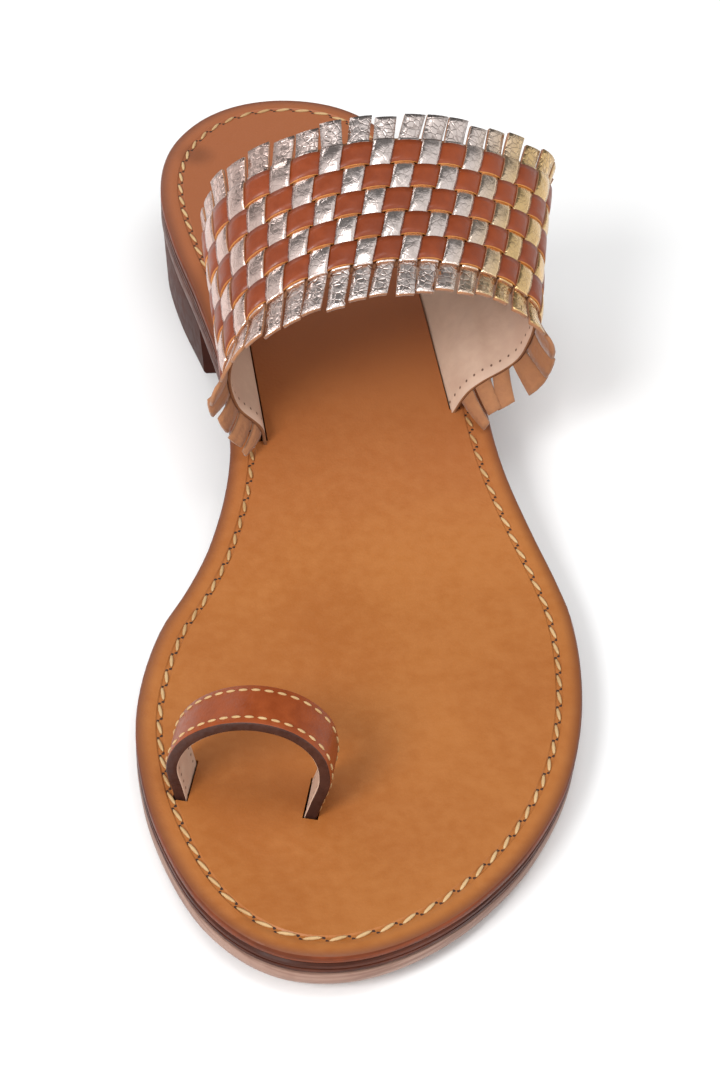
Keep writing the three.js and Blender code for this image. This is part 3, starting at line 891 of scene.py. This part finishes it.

# %% [markdown]
# ## The sole's stitches
# The footbed is sewn to the sole with slanted stitches of waxed thread, and an awl hole shows at each end
# of one. A thread could be a curve that dives and rises, but a small stretched ball is enough at this
# size, set on the line and turned to it. A flat dark ball of painted shade is the hole.

# %% A stitch
UP = Vector((0, 0, 1))


def stitch(bm, centre, along, up, size):
    along = (along - up * along.dot(up)).normalized()
    turned = Matrix((along, up.cross(along), up)).transposed().to_4x4()
    half_size = Matrix.Diagonal((*(measure / 2000 for measure in size), 1))
    place = Matrix.Translation(in_metres(*centre)) @ turned @ half_size
    bmesh.ops.create_uvsphere(bm, u_segments=8, v_segments=6, radius=1, matrix=place)


SEWN_PITCH = 4.6
sewing = np.array([(*edge_point(a, STITCH_INSET), 0) for a in np.linspace(-math.pi, math.pi, 1200)])
sewn_run = running_length(sewing)
stitch_count = round(sewn_run[-1] / SEWN_PITCH)


def sewn_at(number):
    place = number * sewn_run[-1] / stitch_count
    return Vector([np.interp(place, sewn_run, sewing[:, axis]) for axis in range(3)])


print("stitches around the footbed:", stitch_count)

# %% Stitches and awl holes of the sole
STITCH_SIZE, STITCH_SINK, SLANT = (3.6, 0.72, 0.7), 0.08, 0.22
HOLE_SIZE, HOLE_SINK = (1.25, 0.7, 0.12), 0.24
HOLE_REACH, HOLE_ASIDE, HOLE_LEAN = 2.0, 0.12, 0.4
thread, holes = bmesh.new(), bmesh.new()
for k in range(stitch_count):
    here, ahead = sewn_at(k), sewn_at(k + 0.1)
    along = (ahead - here).normalized()
    for point in (here, ahead):
        point.z = footbed_top(point.y)
    sideways = Vector((-along.y, along.x, 0))
    slanted = ahead - here + sideways * SLANT * (ahead - here).length
    stitch(thread, here - UP * STITCH_SINK, slanted, UP, STITCH_SIZE)
    # each end of a stitch gets a flat dark ball: painted shade in an awl hole
    for end in (-1, 1):
        hole = here + slanted.normalized() * HOLE_REACH * end + sideways * HOLE_ASIDE * end
        hole.z = footbed_top(hole.y) - HOLE_SINK
        stitch(holes, hole, sideways - along * HOLE_LEAN, UP, HOLE_SIZE)
piece("sole_stitches", thread, [THREAD], sharp=80)
piece("awl_holes", holes, [HOLE], sharp=80)

# %% [markdown]
# ## The loop's stitches
# Two finer seams hold the loop and its lining together. They use the same stretched balls, closer and
# straight, and leave out the first and last one, where the strap goes down into its slits.

# %% Stitches of the loop
LOOP_STITCH_SIZE = (1.8, 0.6, 0.5)
loop_thread = bmesh.new()
loop_count = round(LOOP_LENGTH / LOOP_PITCH)
for edge in (-1, 1):
    seam = edge * (LOOP_WIDTH / 2 - LOOP_SEAM)
    for k in range(1, loop_count):
        here = loop_point(k / loop_count, seam, LOOP_THICK)
        ahead = loop_point((k + 0.3) / loop_count, seam, LOOP_THICK)
        outwards = here - loop_point(k / loop_count, seam, 0)
        stitch(loop_thread, here, ahead - here, outwards.normalized(), LOOP_STITCH_SIZE)
piece("loop_stitches", loop_thread, [THREAD], sharp=80)

# %% [markdown]
# ## Floor and light
# A pale floor and large soft lights, as in a product studio. The main light comes from the front left,
# where it shades the loop to the right. One even white world would be simpler, but foil needs something
# dark to mirror, so the world is bright in front and low down, and dark behind and overhead.

# %% Floor
bm = bmesh.new()
bmesh.ops.create_grid(bm, x_segments=1, y_segments=1, size=3)
floor_mesh = bpy.data.meshes.new("floor")
bm.to_mesh(floor_mesh)
bm.free()
floor = bpy.data.objects.new("floor", floor_mesh)
scene.collection.objects.link(floor)
pale = {"Base Color": (0.9, 0.9, 0.9, 1), "Roughness": 0.65}
floor_mesh.materials.append(finish("pale_floor", lambda coords: pale))

# %% World
WORLD_STRENGTH = 0.84
world = bpy.data.worlds.new("studio")
scene.world = world
world.use_nodes = True
world.node_tree.nodes.clear()
sky = Wire(world.node_tree).node("TexCoord", out="Generated")
height, depth, side = (axis_of(sky, axis) for axis in "ZYX")
sidewards = side.node("Math", {"operation": "ABSOLUTE"}, {0: side})
in_front = between(depth - sidewards * 0.3, 0.16, 0.42, 1.0, 0.2)
horizon = between(height, 0.05, 0.3, 1.0, 0.0)
brighter = height.node("Math", {"operation": "MAXIMUM"}, {0: in_front, 1: horizon})
tone = blend(brighter, (0, 0, 0, 1), (1, 1, 1, 1))
backdrop = tone.node("Background", None, {"Color": tone, "Strength": WORLD_STRENGTH})
tone.node("OutputWorld", None, {"Surface": backdrop})
print("world:", len(world.node_tree.nodes), "nodes")

# %% Lights
def soft_light(name, place, target, size, watts):
    light = bpy.data.lights.new(name, "AREA")
    light.shape, light.size, light.energy = "DISK", size, watts
    obj = bpy.data.objects.new(name, light)
    obj.location = place
    obj.rotation_euler = (Vector(target) - Vector(place)).to_track_quat("-Z", "Y").to_euler()
    scene.collection.objects.link(obj)
    print("light:", name, watts, "W")


soft_light("key", (-0.75, -0.75, 0.85), (0, -0.02, 0.02), 0.5, 13)
soft_light("fill", (0.9, -0.8, 0.7), (0, 0, 0.02), 0.9, 3)
soft_light("top", (0.05, -0.08, 0.9), (0.01, 0.03, 0.05), 0.5, 1.8)
soft_light("back", (-0.5, 1.1, 0.6), (0, 0.05, 0.03), 0.5, 1.5)

# %% [markdown]
# ## The camera
# The camera's place and turn were fitted to the photograph. It stays there and is only turned to the
# sandal, with a longer lens, because a camera that came closer would change the perspective.

# %% Camera
FOCAL, PHOTO_WIDTH, PHOTO_HEIGHT = 1600, 720, 1080  # pixels
AIM_X, AIM_Y = 505, 537  # the photograph's pixel that becomes the middle
LONGER, SENSOR = 1.75, 36
SEEN_FROM = in_metres(-66.87, -311.18, 384.61)
FORWARD, CAMERA_UP = Vector((0.0353, 0.7473, -0.6636)), Vector((0.0313, 0.6629, 0.7481))
rightwards = FORWARD.cross(CAMERA_UP) * ((AIM_X - PHOTO_WIDTH / 2) / FOCAL)
downwards = CAMERA_UP * ((AIM_Y - PHOTO_HEIGHT / 2) / FOCAL)
aim = (FORWARD + rightwards - downwards).normalized()
aim_up = (CAMERA_UP - aim * CAMERA_UP.dot(aim)).normalized()
view = bpy.data.cameras.new("camera")
view.sensor_fit, view.sensor_height = "VERTICAL", SENSOR
view.lens = FOCAL / PHOTO_HEIGHT * SENSOR * LONGER
camera = bpy.data.objects.new("camera", view)
camera_axes = Matrix((aim.cross(aim_up), aim_up, -aim)).transposed()
camera.matrix_world = Matrix.Translation(SEEN_FROM) @ camera_axes.to_4x4()
scene.collection.objects.link(camera)
scene.camera = camera
scene.view_settings.view_transform = "Standard"
print("lens, mm:", round(view.lens, 1))

# %% [markdown]
# ## The end

# %% End
print("the sandal is dressed")
